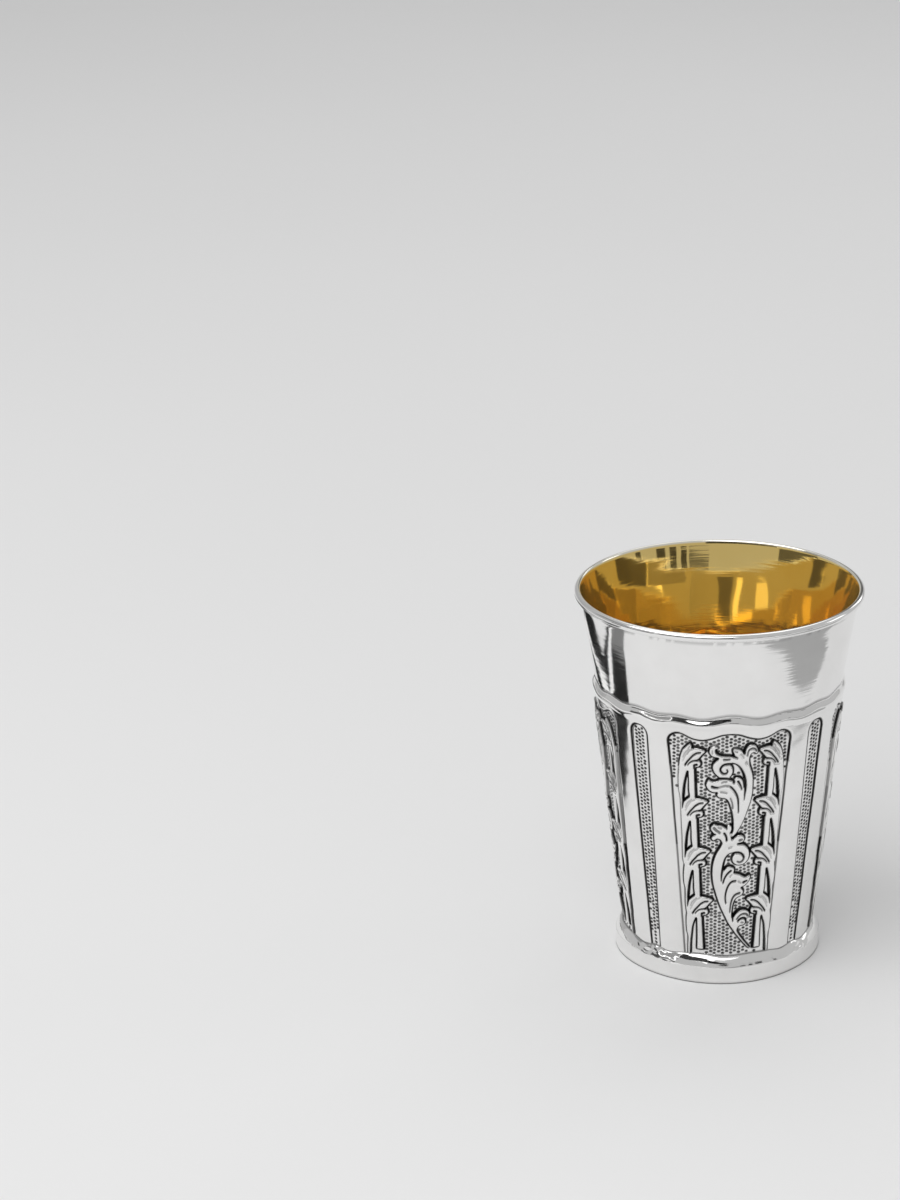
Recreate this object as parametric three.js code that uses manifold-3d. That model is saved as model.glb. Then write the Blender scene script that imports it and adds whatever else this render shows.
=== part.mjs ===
// Kiddush cup: a footed silver beaker with a rolled rim and a plain collar. Below a waved shoulder
// the tapering wall carries four relief panels, each an acanthus scroll between two leaf columns,
// and a narrow sunk flute between each two panels. Millimetres, +Z up, origin at the centre of the
// underside, the first panel faces -Y.
import * as THREE from 'three';
import { mergeVertices } from 'three/addons/utils/BufferGeometryUtils.js';
import Module from 'manifold-3d';

// ---- driving dimensions -------------------------------------------------------------------------
const HEIGHT = 88.8;
const RIM_RADIUS = 33;            // outside of the rolled rim
const BEAD_RADIUS = 0.95;         // the rolled rim is a round bead, turned outwards
const WALL = 0.9;                 // thickness of the silver
const SEGMENTS = 56;              // facets around the cup, a multiple of 8

const FOOT_RADIUS = 23.55;        // standing band of the foot
const FOOT_LOBE = 0.25;           // the foot swells this much under the panels, and draws in between
const FOOT_BAND_TOP = 3.9;
const FOOT_RING_WIDTH = 1.4;      // width of the ring that the cup stands on
const FOOT_EASE = 0.3;            // the foot's edges are eased by about this much
const BASE_RISE = 2.4;            // the base plate sits this far above the table
const BASE_PLATE = 0.9;
const FLOOR = BASE_RISE + BASE_PLATE;

const TAPER_BOTTOM = { z: 6.5, r: 22.2 };    // the wall is a straight cone between these two
const TAPER_TOP = { z: 64.6, r: 28.67 };
const SHOULDER_CREST = { z: 65.9, r: 29.05 };
const COLLAR_BOTTOM = { z: 67.7, r: 28.45 };
const COLLAR_TOP = { z: 85.4, r: 31.4 };
const SHOULDER_REACH = 4;         // the waves of the shoulder and the foot line fade out this far off
const FOOT_LINE_REACH = 2;

// Waves as [degrees from the panel's centre, height offset]
const SHOULDER_WAVE = [[0, 0.55], [14, -0.5], [24.5, 0.1], [35, -0.4], [45, 0.15]];
const FOOT_WAVE = [[0, -0.15], [15, 0.15], [25, 0.05], [35, -0.3], [45, 0.1]];

const GROUND_DEPTH = 0.25;        // the stippled ground lies below the plain wall
const RELIEF_RAISE = 0.4;         // leaves and scrolls stand above the plain wall
const PANELS = 4;

// Panel outline, as the distance from the panel's centre line
const PANEL_HALF_BOTTOM = 10.2;
const PANEL_HALF_TOP = 14.4;
const PANEL_SHOULDER = 62.0;      // height where the straight sides end
const LOBE_TOP = 63.7;            // the top edge waves between peaks and dips
const DIP_TOP = 62.2;
const LOBE_AT = 12.0;
const DIP_AT = 6.4;
const FLUTE_HALF_BOTTOM = 1.2;
const FLUTE_HALF_TOP = 2.35;
const FLUTE_TOP = 63.5;

// Leaf columns: a rod with a spray of leaves at equal steps
const SPRAYS = 4;
const SPRAY_PITCH = 12.75;
const FIRST_SPRAY = 21.25;        // height of the lowest leaf tip
const ROD_BOTTOM = 8.0;
const ROD_AT_BOTTOM = -5.1;       // inner edge of the left rod, which leans outwards going up
const ROD_LEAN = 0.0595;
const COLUMNS_CENTRE = 0.45;      // the pair of columns stands a little right of the panel's centre

// Volutes of the two scrolls: a cut winds inwards about each eye, from one angle in degrees to another
const LOWER_VOLUTE = { eye: [2.3, 32.8], from: 130, to: -150, outer: 1.4, inner: 0.4 };
const UPPER_VOLUTE = { eye: [-1.2, 55.1], from: 60, to: 330, outer: 1.9, inner: 0.5 };
const SPIRAL_CUT = 0.55;          // width of the cut at its outer end

const silver = new THREE.MeshStandardMaterial({
  name: 'polished_silver', color: 0xdcdcda, roughness: 0.12, metalness: 1,
});

// ---- solids and cuts ----------------------------------------------------------------------------
const wasm = await Module();
wasm.setup();

function toSolid(geometry) {
  geometry.deleteAttribute('normal');
  geometry.deleteAttribute('uv');
  const merged = mergeVertices(geometry, 1e-4);
  return new wasm.Manifold(new wasm.Mesh({
    numProp: 3,
    vertProperties: new Float32Array(merged.attributes.position.array),
    triVerts: new Uint32Array(merged.index.array),
  }));
}

function toGeometry(solid) {
  const mesh = solid.getMesh();
  const geometry = new THREE.BufferGeometry();
  geometry.setAttribute('position', new THREE.BufferAttribute(mesh.vertProperties, 3));
  geometry.setIndex(new THREE.BufferAttribute(mesh.triVerts, 1));
  geometry.computeVertexNormals();
  return geometry;
}

const join = (solids) => solids.reduce((whole, solid) => whole.add(solid));

/** Turned solid about Z from [radius, height] pairs. */
function turned(profile, bend = (angle, r, z) => [r, z]) {
  const lathe = new THREE.LatheGeometry(profile.map(([r, z]) => new THREE.Vector2(r, z)), SEGMENTS);
  lathe.rotateX(Math.PI / 2);
  const p = lathe.attributes.position;
  for (let i = 0; i < p.count; i++) {
    const angle = Math.atan2(p.getX(i), -p.getY(i));
    const [r, z] = bend(angle, Math.hypot(p.getX(i), p.getY(i)), p.getZ(i));
    p.setXYZ(i, r * Math.sin(angle), -r * Math.cos(angle), z);
  }
  return toSolid(lathe);
}

// ---- the turned body ----------------------------------------------------------------------------
/** Value at an angle of a smooth wave that repeats with the panels and mirrors about each one. */
function wave(angle, stops) {
  const period = 2 * Math.PI / PANELS;
  const turn = Math.abs(angle - period * Math.round(angle / period)) * 180 / Math.PI;
  let i = 1;
  while (i < stops.length - 1 && turn > stops[i][0]) i++;
  const [[a, u], [b, v]] = [stops[i - 1], stops[i]];
  return u + (v - u) * (1 - Math.cos(Math.PI * (turn - a) / (b - a))) / 2;
}

const taperRadius = (z) => THREE.MathUtils.mapLinear(
  z, TAPER_BOTTOM.z, TAPER_TOP.z, TAPER_BOTTOM.r, TAPER_TOP.r);

function bodyProfile() {
  const beadCentre = [RIM_RADIUS - BEAD_RADIUS, HEIGHT - BEAD_RADIUS];
  const insideFoot = FOOT_RADIUS - FOOT_RING_WIDTH;
  const footShoulder = FOOT_BAND_TOP + 3 * FOOT_EASE;
  const flareTop = TAPER_BOTTOM.z - WALL / 2;
  const ridgeFlank = SHOULDER_CREST.z + WALL;
  return [
    [0, BASE_RISE],
    [insideFoot - FOOT_EASE, BASE_RISE],
    [insideFoot, 0],
    [FOOT_RADIUS - FOOT_EASE, 0],
    [FOOT_RADIUS, FOOT_EASE],
    [FOOT_RADIUS, FOOT_BAND_TOP],
    [FOOT_RADIUS - FOOT_EASE, footShoulder],
    [TAPER_BOTTOM.r + FOOT_EASE, flareTop],
    [TAPER_BOTTOM.r, TAPER_BOTTOM.z],
    [TAPER_TOP.r, TAPER_TOP.z],
    [SHOULDER_CREST.r, SHOULDER_CREST.z],
    [(SHOULDER_CREST.r + COLLAR_BOTTOM.r) / 2, ridgeFlank],
    [COLLAR_BOTTOM.r, COLLAR_BOTTOM.z],
    ...arc(beadCentre, -135, 180, BEAD_RADIUS, BEAD_RADIUS, 8),
    [COLLAR_TOP.r - WALL, COLLAR_TOP.z],
    [COLLAR_BOTTOM.r - WALL, COLLAR_BOTTOM.z],
    [SHOULDER_CREST.r - WALL, SHOULDER_CREST.z],
    [TAPER_TOP.r - WALL, TAPER_TOP.z],
    [TAPER_BOTTOM.r - WALL, TAPER_BOTTOM.z],
    [TAPER_BOTTOM.r - 2 * WALL, FLOOR],
    [0, FLOOR],
  ];
}

/** Waves the shoulder and the foot line up and down, and swells the foot under each panel. */
function bendBody(angle, r, z) {
  const nearShoulder = Math.max(0, 1 - Math.abs(z - SHOULDER_CREST.z) / SHOULDER_REACH);
  const nearFootLine = Math.max(0, 1 - Math.abs(z - TAPER_BOTTOM.z) / FOOT_LINE_REACH);
  const onFoot = r > TAPER_BOTTOM.r + WALL / 2 && z < TAPER_BOTTOM.z;
  return [
    onFoot ? r + FOOT_LOBE * Math.cos(PANELS * angle) : r,
    z + Math.min(1, 2 * nearShoulder) * wave(angle, SHOULDER_WAVE) + nearFootLine * wave(angle, FOOT_WAVE),
  ];
}

// ---- relief outlines, flat: x across from the panel's centre line, y up -------------------------
const shapeOf = (pairs) => new THREE.Shape(pairs.map(([x, y]) => new THREE.Vector2(x, y)));

/** Points on an arc about a centre, its radius changing evenly from one end to the other. */
function arc([x, y], fromDegrees, toDegrees, fromRadius, toRadius, count) {
  return Array.from({ length: count }, (_, i) => {
    const t = i / (count - 1);
    const a = THREE.MathUtils.degToRad(THREE.MathUtils.lerp(fromDegrees, toDegrees, t));
    const r = THREE.MathUtils.lerp(fromRadius, toRadius, t);
    return [x + r * Math.cos(a), y + r * Math.sin(a)];
  });
}

/** Outline of a cut that winds into a volute, narrowing to a point at its inner end. */
function spiralCut({ eye, from, to, outer, inner }) {
  const outside = arc(eye, from, to, outer, inner, 8);
  const inside = arc(eye, from, to, outer - SPIRAL_CUT, inner, 8);
  return [...outside, ...inside.reverse().slice(1)];
}

/** The lower scroll: a stem rising from its tail, with leaves inside the bend and a volute on top. */
function lowerScroll() {
  const stemLeft = [[5.3, 8.1], [3.3, 10.1], [0.9, 13.6], [-0.9, 17.2], [-2.4, 21.2], [-3.6, 25.8],
    [-3.8, 29.5], [-3.1, 33.3], [-1.8, 36.0]];
  const leafHead = [[-2.7, 37.1], [-3.6, 36.7], [-4.1, 37.5], [-3.5, 38.4], [-4.4, 39.9], [-3.6, 41.2],
    [-1.8, 40.9], [-0.7, 40.3], [-0.1, 41.1], [0.7, 40.5], [0.5, 38.9]];
  const smallCurl = [[1.0, 37.8], [2.5, 38.4], [3.6, 37.4], [2.9, 36.1]];
  const voluteEdge = arc(LOWER_VOLUTE.eye, 55, -210, 3.2, 1.5, 8);
  const stemInside = [[-0.1, 33.1], [-0.9, 31.6], [-1.3, 29.7]];
  const topLeaf = [[0.1, 30.2], [1.4, 29.6], [1.4, 28.4]];
  const bigLeaf = [[2.6, 28.1], [3.8, 27.4], [4.9, 28.0], [5.1, 26.6], [3.1, 24.4]];
  const lowLeaf = [[3.6, 23.3], [2.0, 21.6], [1.2, 19.0], [1.2, 16.9]];
  const tailCurls = [[2.4, 18.3], [3.9, 18.7], [5.2, 17.4], [4.2, 16.0], [4.2, 14.9], [2.6, 14.0],
    [2.6, 12.6], [5.5, 8.4]];
  return [...stemLeft, ...leafHead, ...smallCurl, ...voluteEdge, ...stemInside, ...topLeaf, ...bigLeaf,
    ...lowLeaf, ...tailCurls];
}

/** The upper scroll: its stem grows out of the leaf head and curls over to the left. */
function upperScroll() {
  const stemLeft = [[0.5, 38.9], [0.7, 41.5], [0.1, 45.3], [-0.9, 47.4]];
  const bigLeaf = [[-2.5, 47.8], [-2.9, 49.1], [-4.6, 49.5], [-5.5, 51.1], [-4.8, 52.7], [-3.7, 52.2]];
  const voluteEdge = arc(UPPER_VOLUTE.eye, 240, 130, 2.6, 3.3, 4);
  const leftHorn = [[-4.7, 58.7], [-4.7, 60.5], [-3.4, 61.1], [-2.6, 60.4], [-3.2, 59.7], [-1.9, 58.6],
    [0.7, 58.3]];
  const middleLobe = [[0.3, 60.0], [1.9, 60.2], [3.0, 59.0]];
  const rightHorn = [[3.5, 60.6], [4.8, 61.3], [6.1, 60.3], [6.2, 58.8], [4.8, 58.7]];
  const stemRight = [[4.3, 57.2], [5.2, 53.5], [5.2, 49.2], [4.3, 44.8], [2.9, 40.9], [1.1, 37.9],
    [0.7, 37.2]];
  return [...stemLeft, ...bigLeaf, ...voluteEdge, ...leftHorn, ...middleLobe, ...rightHorn, ...stemRight];
}

/** The ground that shows between the upper volute and its stem. */
const UPPER_WINDOW = [[0.6, 56.3], [1.9, 55.5], [3.0, 53.0], [1.8, 53.2], [0.6, 52.6], [0.1, 53.1],
  [0.7, 54.5]];

/** Inner edge of the left column's rod at a height. */
const rodEdge = (y) => ROD_AT_BOTTOM - ROD_LEAN * (y - ROD_BOTTOM);

// One spray of the left column, measured from the rod's inner edge at the height of the leaf tip
const SPRAY_EDGE = [[0.27, -4.6], [1.0, -4.15], [1.65, -3.2], [1.1, -2.15], [2.72, 0], [0.8, 0.88],
  [-0.15, 1.0]];
const SPRAY_SLIT = [[-1.4, -5.4], [-2.15, -8.9], [-2.35, -12.4], [-1.05, -11.7]];

/** The left leaf column: its outline, and the slits between the rod and the outer leaves. */
function leafColumn() {
  const tips = Array.from({ length: SPRAYS }, (_, i) => FIRST_SPRAY + i * SPRAY_PITCH);
  const place = (tip) => ([x, y]) => [rodEdge(tip) + x, tip + y];
  const top = tips[SPRAYS - 1];
  const crown = [[-0.3, 0.85], [-0.8, 1.9], [-2.2, 0.9], [-3.1, -1.0], [-3.6, -4.3]].map(place(top));
  const outerEdge = tips.slice(0, -1).reverse().flatMap(
    (tip) => [[-4.1, 3.8], [-3.8, -2.5]].map(place(tip)));
  const foot = [[-8.95, 6.5], [-8.2, 6.5], [-8.0, 12.0], [-7.15, 16.2], [-6.9, ROD_BOTTOM],
    [ROD_AT_BOTTOM, ROD_BOTTOM]];
  const outline = [...tips.flatMap((tip) => SPRAY_EDGE.map(place(tip))), ...crown, ...outerEdge, ...foot];
  const slits = tips.slice(1).map((tip) => SPRAY_SLIT.map(place(tip)));
  return { outline, slits };
}

/** Edge of a wide panel: straight sides and a top that waves between two lobes and a middle peak. */
function panelOutline() {
  const dipSide = (LOBE_AT - DIP_AT) / 4;
  const middle = (LOBE_TOP + DIP_TOP) / 2;
  const left = [
    [-PANEL_HALF_BOTTOM, TAPER_BOTTOM.z], [-PANEL_HALF_TOP, PANEL_SHOULDER],
    [-PANEL_HALF_TOP + 0.7, LOBE_TOP - 0.6], [-LOBE_AT, LOBE_TOP],
    [-LOBE_AT + 2 * dipSide, middle], [-DIP_AT - dipSide / 2, DIP_TOP], [-DIP_AT + dipSide / 2, DIP_TOP],
    [-DIP_AT / 2, middle], [0, LOBE_TOP],
  ];
  const right = left.slice(0, -1).reverse().map(([x, y]) => [-x, y]);
  return shapeOf([...left, ...right]);
}

function fluteOutline() {
  const straightTop = FLUTE_TOP - FLUTE_HALF_TOP;
  return shapeOf([
    [-FLUTE_HALF_BOTTOM, TAPER_BOTTOM.z], [FLUTE_HALF_BOTTOM, TAPER_BOTTOM.z],
    ...arc([0, straightTop], 0, 180, FLUTE_HALF_TOP, FLUTE_HALF_TOP, 6),
  ]);
}

// ---- relief solids ------------------------------------------------------------------------------
const PRESS_INNER = 15;           // a die pressed straight in reaches between these depths
const PRESS_OUTER = 36;

/** Prism of a flat outline laid around the cup about -Y and pressed straight towards the axis. */
function pressed(shape) {
  const geometry = new THREE.ExtrudeGeometry(shape, {
    depth: PRESS_OUTER - PRESS_INNER, bevelEnabled: false, steps: 1,
  });
  geometry.rotateX(Math.PI / 2);
  const p = geometry.attributes.position;
  for (let i = 0; i < p.count; i++) {
    const [x, depth, z] = [p.getX(i), p.getY(i), p.getZ(i)];
    const r = taperRadius(z);
    p.setXYZ(i, r * Math.sin(x / r), depth - PRESS_INNER, z);
  }
  return toSolid(geometry);
}

const core = turned([
  [0, 0], [taperRadius(0) - GROUND_DEPTH, 0], [taperRadius(HEIGHT) - GROUND_DEPTH, HEIGHT], [0, HEIGHT],
]);
const shell = turned([
  [taperRadius(TAPER_BOTTOM.z) - WALL / 2, TAPER_BOTTOM.z],
  [taperRadius(TAPER_BOTTOM.z) + RELIEF_RAISE, TAPER_BOTTOM.z],
  [taperRadius(TAPER_TOP.z) + RELIEF_RAISE, TAPER_TOP.z],
  [taperRadius(TAPER_TOP.z) - WALL / 2, TAPER_TOP.z],
  [taperRadius(TAPER_BOTTOM.z) - WALL / 2, TAPER_BOTTOM.z],
]);

function panelRelief() {
  const { outline, slits } = leafColumn();
  const mirrored = ([x, y]) => [2 * COLUMNS_CENTRE - x, y];
  const columns = [outline, outline.map(mirrored)].map((edge) => pressed(shapeOf(edge)));
  const scrolls = [lowerScroll(), upperScroll()].map((edge) => pressed(shapeOf(edge)));
  const cuts = [
    ...slits, ...slits.map((slit) => slit.map(mirrored)), UPPER_WINDOW,
    spiralCut(LOWER_VOLUTE), spiralCut(UPPER_VOLUTE),
  ].map((edge) => pressed(shapeOf(edge)));
  return cuts.reduce((relief, cut) => relief.subtract(cut), join([...columns, ...scrolls]));
}

function makeBody() {
  const flute = pressed(fluteOutline()).rotate([0, 0, 180 / PANELS]);
  const sunk = pressed(panelOutline()).add(flute).subtract(core);
  const raised = panelRelief().intersect(shell);
  let body = turned(bodyProfile(), bendBody);
  for (let i = 0; i < PANELS; i++) {
    const turn = [0, 0, 360 * i / PANELS];
    body = body.subtract(sunk.rotate(turn)).add(raised.rotate(turn));
  }
  return body;
}

const beaker = new THREE.Mesh(toGeometry(makeBody()), silver);
beaker.name = 'beaker';

const cup = new THREE.Group();
cup.add(beaker);

export default cup;
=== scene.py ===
"""Kiddush cup: a footed silver beaker, gilt inside, with acanthus panels chased round its wall.

The CAD solid gives the form. Here it is replaced by finer meshes of the same form that carry the
relief, its chased lines and its punched ground. Shapes are worked out in millimetres, with the
first panel facing -Y, and become metres when the meshes are made.
"""
import math

import bpy
import numpy as np
from mathutils import Matrix


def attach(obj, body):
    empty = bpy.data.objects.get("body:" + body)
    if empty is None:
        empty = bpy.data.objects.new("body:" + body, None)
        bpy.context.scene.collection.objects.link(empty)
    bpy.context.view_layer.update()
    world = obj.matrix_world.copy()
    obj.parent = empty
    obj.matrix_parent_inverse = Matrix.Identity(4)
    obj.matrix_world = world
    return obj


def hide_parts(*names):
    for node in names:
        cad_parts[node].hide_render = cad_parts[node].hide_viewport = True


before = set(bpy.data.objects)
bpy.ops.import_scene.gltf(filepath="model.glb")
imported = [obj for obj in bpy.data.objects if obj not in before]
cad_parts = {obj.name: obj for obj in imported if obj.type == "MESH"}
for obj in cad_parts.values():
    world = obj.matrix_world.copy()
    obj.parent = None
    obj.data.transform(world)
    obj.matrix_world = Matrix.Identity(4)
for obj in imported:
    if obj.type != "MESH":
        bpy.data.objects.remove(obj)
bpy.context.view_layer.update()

MM = 0.001
DEG = math.pi / 180

# ---- dimensions of the cup ----
# These are the CAD source's
HEIGHT = 88.8
RIM_RADIUS = 33.0
BEAD_RADIUS = 0.95
WALL = 0.9
FOOT_LOBE = 0.25
BASE_RISE = 2.4
FLOOR = 3.3
CONE_BOTTOM = (6.5, 22.2)      # height, radius
CONE_TOP = (64.6, 28.67)
PANELS = 4
GROUND = -0.25                 # level against the plain cone

# The rest follow it within a few tenths of a millimetre, read more finely
STRIP = -0.12                  # levels against the plain cone
COLUMN = 0.2
SCROLL = 0.3
COLLAR = (68.0, 28.5)          # height, radius
COLLAR_SLOPE = 0.167
COLLAR_END = 86.5              # height where the rolled bead begins

# Heights round the cup as (degrees from a panel's middle, height)
FOOT_LINE = [(0, 6.35), (15, 6.7), (25, 6.6), (35, 6.1), (45, 6.65)]
RIDGE_FOOT = [(0, 65.4), (14, 65.1), (25, 65.3), (35, 64.8), (45, 65.1)]
RIDGE_TOP = [(0, 68.1), (14, 66.95), (25, 67.6), (35, 67.2), (45, 67.7)]

# ---- finer shape, for these meshes alone ----
RIDGE_LEAD = 0.5               # the shoulder piece starts this share of its height below the ridge
RIDGE_OVER = 0.43              # at the top its profile is drawn from this far outside the collar
# The ridge as (share of its height, how far it stands out)
RIDGE_PROFILE = [(-.5, 0), (-.4, .004), (-.25, .035), (0, .14), (.2, .2), (.4, .12), (.6, -.08),
                 (.8, -.33), (.93, -.45), (1, -.47)]
RIDGE_INSIDE = 0.2             # how far the ridge's hollow shows on the inside

# Angle on the rim's bead where the gilding takes over. Both grids run one row past it
SEAM = 73
BEAD_INSIDE = 0.524            # the bead is flatter on its inner side
THIN_FROM = 80                 # above this height the wall thins towards the rim
THINNING = 0.068               # by this much for each millimetre
LIP_FROM = 87.8                # and here its inside begins to turn outwards over the rim
LIP_CURVE = 0.16

# The foot's flare as (distance out from the foot of the cone, height), for a foot line at FLARE_TOP
FLARE = [(-.06, 6.75), (.02, 6.55), (.25, 6.31), (.47, 6.02), (.67, 5.68), (.86, 5.3), (1.05, 4.85),
         (1.22, 4.4), (1.32, 4.05), (1.35, 3.7), (1.35, .35), (1.27, .1), (1.05, 0)]
FLARE_TOP = 6.6
CENTRE = 0.004                 # the flat bottoms are closed down to this radius
# The underside as (radius, height), from its middle to the ring that the cup stands on
UNDERSIDE = [(CENTRE, BASE_RISE), (8, BASE_RISE), (16, BASE_RISE), (20.5, BASE_RISE),
             (21.7, BASE_RISE), (21.95, 2.1), (22.05, .5), (22.2, .08), (22.4, 0), (23.1, 0)]

# Rows of the inner wall as (from height, to height, rows), close where the wall bends
INNER_WALL = [(88.35, 87.5, 8), (87.1, 78, 18), (77, 71, 6), (70.5, 62, 44), (61, 6.6, 40)]
CORNER = (21.3, 2.6)           # radius of the inner wall at its bottom, and of its turn to the floor
FLOOR_RADIUS = 18.3

# Unevenness of the hammered wall, long and short waves
WALL_DENTS = 0.02
WALL_RIPPLES = 0.006
RIDGE_RIPPLES = 0.017
COLLAR_DENTS = 0.03
COLLAR_RIPPLES = 0.0025
# Places round the foot where it is roughly hammered: degrees, spread, strength
ROUGH_SPOTS = [(-43, 15, 1), (53, 6, .9), (140, 12, .8), (-142, 10, .9)]
HAMMER_DEPTH = 0.08
UNDER_RIM_SHADE_LEVEL = 56               # where the waves are read to break up the painted shade under the rim

rng = np.random.default_rng(11)


def cone(z):
    """Radius of the plain cone at a height."""
    (z0, r0), (z1, r1) = CONE_BOTTOM, CONE_TOP
    return r0 + (r1 - r0) * (z - z0) / (z1 - z0)


def collar(z):
    return COLLAR[1] + COLLAR_SLOPE * (z - COLLAR[0])


def around(angle, stops):
    """Value at an angle of a smooth wave that repeats with the panels and mirrors about each."""
    period = 2 * math.pi / PANELS
    turn = np.abs(angle - period * np.round(angle / period)) / DEG
    at = np.array([s[0] for s in stops], float)
    value = np.array([s[1] for s in stops], float)
    i = np.clip(np.searchsorted(at, turn, side="right") - 1, 0, len(at) - 2)
    t = (turn - at[i]) / (at[i + 1] - at[i])
    return value[i] + (value[i + 1] - value[i]) * (1 - np.cos(np.pi * t)) / 2


def ease(t):
    """Smooth step from 0 to 1."""
    t = np.clip(t, 0, 1)
    return t * t * (3 - 2 * t)


def unevenness(count, shortest, longest):
    """A smooth random field in space, of about unit size, with wavelengths in millimetres."""
    direction = rng.normal(size=(count, 3))
    direction /= np.linalg.norm(direction, axis=1)[:, None]
    k = 2 * math.pi / rng.uniform(shortest, longest, count)
    phase = rng.uniform(0, 2 * math.pi, count)

    def field(x, y, z):
        total = np.zeros(np.broadcast(x, z).shape)
        for (a, b, c), n, p in zip(direction, k, phase):
            total += np.sin(n * (a * x + b * y + c * z) + p)
        return total / math.sqrt(count / 2)

    return field


def spline(points, steps=5):
    """A smooth line through all the points (Catmull-Rom)."""
    p = np.array(points, float)
    if len(p) < 3:
        t = np.linspace(0, 1, steps + 1)[:, None]
        return p[0] * (1 - t) + p[-1] * t
    ends = np.vstack([2 * p[0] - p[1], p, 2 * p[-1] - p[-2]])
    out = []
    for a, b, c, d in zip(ends[:-3], ends[1:-2], ends[2:-1], ends[3:]):
        for t in np.arange(steps) / steps:
            out.append(0.5 * (2 * b + (c - a) * t + (2 * a - 5 * b + 4 * c - d) * t ** 2
                              + (3 * b - a - 3 * c + d) * t ** 3))
    return np.array(out + [p[-1]])


# ---- the ornament of one panel ----
# Each run is (width at its start, width at its end, darkness, points). x is measured along the
# cone from the panel's middle and y is the height. Runs with no width only close an outline.
UNCUT = (0, 0, 0)
LOWER_SCROLL = [
    (.26, .44, .95, [(5.25, 8), (4.6, 8.45), (3.3, 10.1), (1.9, 12.05), (.95, 13.6), (.05, 15.15),
                     (-.85, 17.2), (-1.65, 19.1), (-2.4, 21.2), (-3.05, 23.5), (-3.6, 25.8),
                     (-3.85, 28.2)]),
    (.44, .42, 1, [(-3.85, 28.2), (-3.75, 30.3), (-3.4, 32.2), (-2.85, 33.8), (-2.15, 35.1),
                   (-1.75, 36), (-1.75, 36.35), (-2.1, 36.95), (-2.7, 37.1), (-3.1, 36.8),
                   (-3.6, 36.65), (-4, 37), (-4.15, 37.5), (-3.95, 38), (-3.45, 38.4)]),
    (.46, .42, 1, [(-3.45, 38.4), (-4, 39.1), (-4.35, 39.8), (-4.25, 40.5), (-3.85, 41.05),
                   (-3.3, 41.3), (-2.6, 41.05), (-1.8, 40.95), (-1.2, 40.7), (-.7, 40.3)]),
    (.3, .3, .5, [(-.7, 40.3), (-.65, 40.75), (-.3, 41.05), (.2, 41.05)]),
    (.3, .5, .95, [(.2, 41.05), (.6, 40.7), (.75, 40.1), (.65, 39.3), (.4, 38.85)]),
    (*UNCUT, [(.4, 38.85), (.5, 38.1), (.7, 37.3)]),
    (.46, .34, .95, [(.7, 37.3), (1.2, 37.85), (1.8, 38.3), (2.5, 38.4), (3.1, 38.2), (3.5, 37.75),
                     (3.65, 37.2), (3.5, 36.6), (3.15, 36.2), (2.8, 35.98)]),
    (.5, .32, 1, [(2.8, 35.98), (3.4, 35.85), (4.1, 35.3), (4.6, 34.5), (4.85, 33.5), (4.85, 32.6),
                  (4.6, 31.7), (4.1, 30.95), (3.4, 30.4), (2.5, 30.2)]),
    (.3, .34, .75, [(2.5, 30.2), (1.7, 30.35), (1.05, 30.8), (.65, 31.5), (.6, 32.2), (.8, 32.9),
                    (1.1, 33.35)]),
    (.36, .5, 1, [(1.1, 33.45), (.5, 33.45), (-.1, 33.1), (-.6, 32.4), (-.95, 31.4), (-1.25, 29.7)]),
    (.4, .34, .9, [(-1.1, 29.3), (-.6, 29.95), (.1, 30.25), (.8, 30.15), (1.3, 29.8), (1.5, 29.2),
                   (1.35, 28.5)]),
    (.32, .5, .9, [(1.35, 28.5), (1.9, 28.35), (2.6, 28.15), (3.2, 27.75), (3.8, 27.4)]),
    (.5, .3, .95, [(3.8, 27.4), (4.3, 27.5), (4.85, 27.95)]),
    (.36, .4, .85, [(4.85, 27.95), (5.2, 27.3), (5.1, 26.6), (4.8, 25.9), (4.2, 25.1), (3.6, 24.65),
                    (3.1, 24.4)]),
    (.42, .34, .9, [(3.1, 24.4), (3.45, 24), (3.65, 23.4), (3.55, 22.8), (3.2, 22.3), (2.6, 21.95),
                    (2, 21.6), (1.55, 20.9), (1.3, 19.9), (1.15, 18.8), (1.1, 17.7), (1.15, 16.8)]),
    (.5, .36, .95, [(1.15, 16.8), (1.35, 17.1), (1.8, 17.8), (2.4, 18.35), (3.1, 18.7), (3.9, 18.75),
                    (4.6, 18.4), (5.05, 17.9), (5.25, 17.2), (5.1, 16.5), (4.7, 16.1), (4.2, 16)]),
    (.5, .3, .95, [(4.2, 16), (4.35, 15.5), (4.3, 15), (4, 14.5), (3.5, 14.3), (2.9, 14.2),
                   (2.5, 13.75), (2.4, 13.2), (2.65, 12.5), (3.3, 11.4), (4.1, 10.2), (4.9, 9.1),
                   (5.45, 8.35), (5.25, 8)]),
]
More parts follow.
